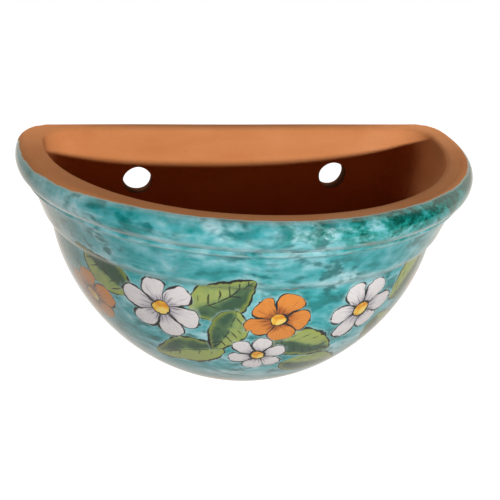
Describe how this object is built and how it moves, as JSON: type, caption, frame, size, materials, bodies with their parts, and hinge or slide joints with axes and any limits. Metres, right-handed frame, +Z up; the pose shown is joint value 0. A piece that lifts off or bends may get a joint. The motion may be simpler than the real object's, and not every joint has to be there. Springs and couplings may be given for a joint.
{
  "type": "wall planter",
  "caption": "Half-round wall planter in terracotta with a thick rolled rim, a shoulder band, a flat back with hanging holes and a glazed, painted outside.",
  "frame": {"origin": "midway between the two hanging holes, on the wall plane", "axes": "+Y into the wall and -Y to the planter's front, +Z up, +X to the right as seen from the front"},
  "size_m": [0.3, 0.178, 0.16],
  "materials": {
    "terracotta": "matte",
    "glaze": "gloss"
  },
  "bodies": {
    "root": {"bowl_shell": "terracotta", "rim_collar": "terracotta", "bead_ring": "terracotta", "shoulder_band": "terracotta", "back_slab": "terracotta", "glaze_coat": "glaze"}
  },
  "joints": []
}
